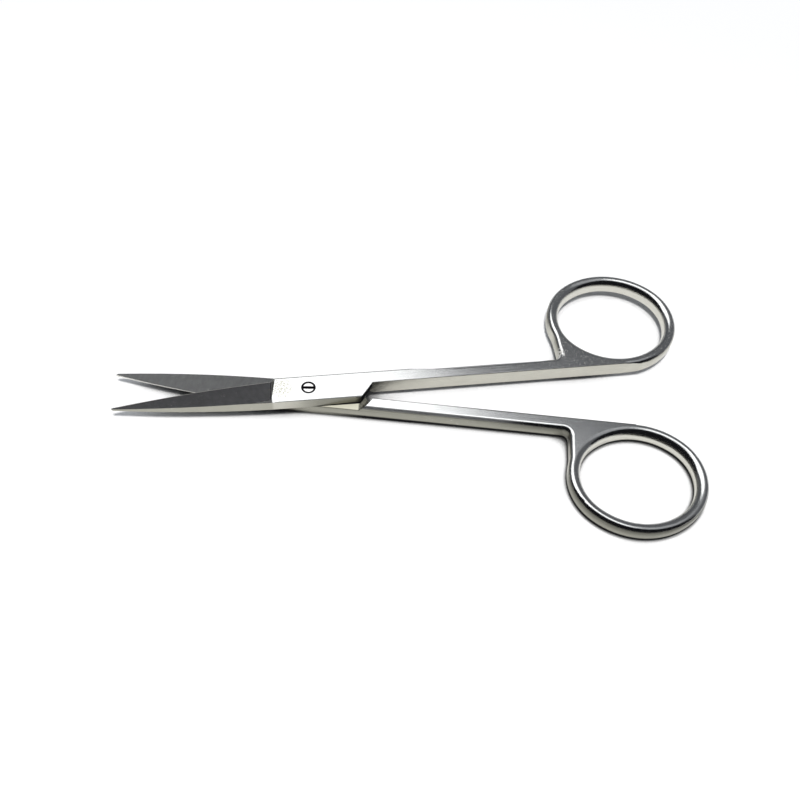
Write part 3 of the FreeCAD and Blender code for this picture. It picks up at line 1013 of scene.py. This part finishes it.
@dataclass
class Studio:
    """Floor, light and screens: a plain white table under one lamp in a pale room."""

    floor_reach: float = 3.0
    floor_drop: float = 0.00002
    contact: float = 0.004
    crack: float = 0.0009
    glow_open: Span = (0.4, 0.7)
    crack_open: Span = (0.5, 0.9)
    contact_open: Span = (0.35, 0.6)
    glow_far: Span = (0.15, 0.6)
    glow: Span = (0.2, 1.0)
    painted_contact_shadow: Color = (0.05, 0.05, 0.05)
    white_sheet: Color = (0.98, 0.98, 0.98)
    lamp_radiance: float = 92.0
    lamp_size: float = 0.15
    lamp_around: float = -90.0
    lamp_height: float = 78.0
    lamp_distance: float = 0.9
    sky: Color = (0.18, 0.205, 0.245)
    screens: tuple[Screen, ...] = field(default_factory=lambda: (
        Screen("near_screen", (-205, -15), (4, 88), (0.010, 0.010, 0.012)),
        Screen("right_screen", (-15, 90), (4, 76), (0.16, 0.163, 0.172)),
        Screen("high_screen", (-15, 90), (53.5, 76), (0.47, 0.475, 0.49), distance=0.98),
        Screen("far_screen", (77, 155), (4, 44), (0.13, 0.133, 0.14), distance=0.96),
        Screen("bright_screen", (111, 155), (42, 76), (2.4, 2.4, 2.4), distance=0.94, lean=-3.0),
    ))

    def build(self) -> None:
        """Lay the floor, hang the lamp, light the room and stand the screens."""
        self._floor()
        self._lamp()
        self._room()
        for screen in self.screens:
            screen.build()

    def _seen(self, wiring: Wiring) -> bpy.types.NodeSocket:
        """1 for what the camera sees, directly or in steel, and 0 for what only lights."""
        path = wiring.add("LightPath")
        return wiring.sum("MAXIMUM", path.outputs["Is Camera Ray"], wiring.sum(
            "MAXIMUM", path.outputs["Is Glossy Ray"], path.outputs["Is Transmission Ray"]))

    def _floor(self) -> None:
        """A large white sheet that keeps the object's shadow, adds a painted contact shadow and
        glows where it is seen.
        """
        reach, drop = self.floor_reach, -self.floor_drop
        mesh = bpy.data.meshes.new("floor")
        mesh.from_pydata([(-reach, -reach, drop), (reach, -reach, drop), (reach, reach, drop),
                          (-reach, reach, drop)], [], [(0, 1, 2, 3)])
        floor = bpy.data.objects.new("floor", mesh)
        bpy.context.scene.collection.objects.link(floor)
        material = bpy.data.materials.new("white_sheet")
        material.use_nodes = True
        wiring = Wiring(material.node_tree)
        open_sky = wiring.feed(wiring.add("AmbientOcclusion", samples=8), Distance=self.contact)
        whiter = wiring.product(self._seen(wiring), wiring.step(
            open_sky.outputs["AO"], *self.glow_open))
        # Painted contact shadow: the floor turns dark where the object is close above it.
        crack = wiring.feed(wiring.add("AmbientOcclusion", samples=8), Distance=self.crack)
        lit = wiring.product(wiring.step(crack.outputs["AO"], *self.crack_open),
                             wiring.step(open_sky.outputs["AO"], *self.contact_open))
        matt = wiring.feed(wiring.add("BsdfDiffuse"), Color=wiring.blend(
            lit, self.painted_contact_shadow, self.white_sheet))
        away = wiring.add("VectorMath", operation="LENGTH")
        wiring.put(wiring.add("TexCoord").outputs["Object"], away.inputs[0])
        far = wiring.step(away.outputs["Value"], *self.glow_far)
        glow = wiring.feed(wiring.add("Emission"), Color=(1.0, 1.0, 1.0, 1.0),
                           Strength=wiring.product(whiter, wiring.lerp(far, *self.glow)))
        both = wiring.add("AddShader")
        wiring.put(matt.outputs[0], both.inputs[0])
        wiring.put(glow.outputs[0], both.inputs[1])
        wiring.put(both.outputs[0], wiring.add("OutputMaterial").inputs[0])
        mesh.materials.append(material)

    def _lamp(self) -> None:
        """The lamp that hangs over the object and gives it a tight shadow."""
        data = bpy.data.lights.new("hanging_lamp", "AREA")
        data.shape = "SQUARE"
        data.size = self.lamp_size
        data.energy = self.lamp_radiance * math.pi * self.lamp_size ** 2
        data.color = (1.0, 0.985, 0.965)
        lamp = bpy.data.objects.new("hanging_lamp", data)
        lamp.visible_glossy = False
        bpy.context.scene.collection.objects.link(lamp)
        around, rise = math.radians(self.lamp_around), math.radians(self.lamp_height)
        toward = Vector((math.cos(rise) * math.cos(around), math.cos(rise) * math.sin(around),
                         math.sin(rise)))
        lamp.location = toward * self.lamp_distance
        lamp.rotation_euler = toward.to_track_quat("Z", "Y").to_euler()

    def _room(self) -> None:
        """A white room: full white where it is seen or mirrored, and as a light bluish overhead."""
        world = bpy.data.worlds.new("white_room")
        bpy.context.scene.world = world
        world.use_nodes = True
        wiring = Wiring(world.node_tree)
        parts = wiring.add("SeparateXYZ")
        wiring.put(wiring.add("TexCoord").outputs["Generated"], parts.inputs[0])
        lit = wiring.blend(wiring.step(parts.outputs[2], 0.2, 0.9), (0.0, 0.0, 0.0), self.sky)
        backdrop = wiring.feed(wiring.add("Background"), Strength=1.0, Color=wiring.blend(
            self._seen(wiring), lit, (1.0, 1.0, 1.0)))
        wiring.put(backdrop.outputs[0], wiring.add("OutputWorld").inputs[0])
        world.cycles.sampling_method = "NONE"


@dataclass(frozen=True)
class Viewpoint:
    """Where the camera stands and how it is held."""

    spot: Point = (0.0012375, -0.1186445, 0.1709224)
    aim: Point = (0.0176842, -0.0010747, 0.0023)
    tilt: float = math.radians(7.1823)
    lens: float = 47.9325

    def build(self) -> bpy.types.Object:
        """Place the camera and make it the scene's own.

        Returns:
            The camera.
        """
        data = bpy.data.cameras.new("camera")
        data.lens = self.lens
        data.sensor_width = 36.0
        data.clip_start, data.clip_end = 0.005, 20.0
        camera = bpy.data.objects.new("camera", data)
        bpy.context.scene.collection.objects.link(camera)
        toward = (Vector(self.aim) - Vector(self.spot)).to_track_quat("-Z", "Y").to_matrix()
        held = toward @ Matrix.Rotation(self.tilt, 3, "Z")
        camera.matrix_world = Matrix.Translation(Vector(self.spot)) @ held.to_4x4()
        bpy.context.scene.camera = camera
        return camera


def main() -> None:
    """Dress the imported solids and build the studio."""
    logging.basicConfig(level=logging.INFO, format="%(message)s")
    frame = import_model()
    bpy.context.scene.view_settings.view_transform = "Standard"
    Viewpoint().build()
    Studio().build()
    effects = Effects()
    steel = WorkedSteel()
    for side in Side:
        belly = (0.1, 0.35) if side is Side.UPPER else (0.4, 0.25)
        Half(side, steel, Spans(), belly).dress(frame["nodes"][side.value], effects)
        LOG.info("%s dressed in worked steel", side.value)
    PivotScrew(ScrewSteel()).dress(frame["nodes"]["pivot_screw"], effects)
    LOG.info("pivot_screw dressed in turned steel")


if __name__ == "__main__":
    main()
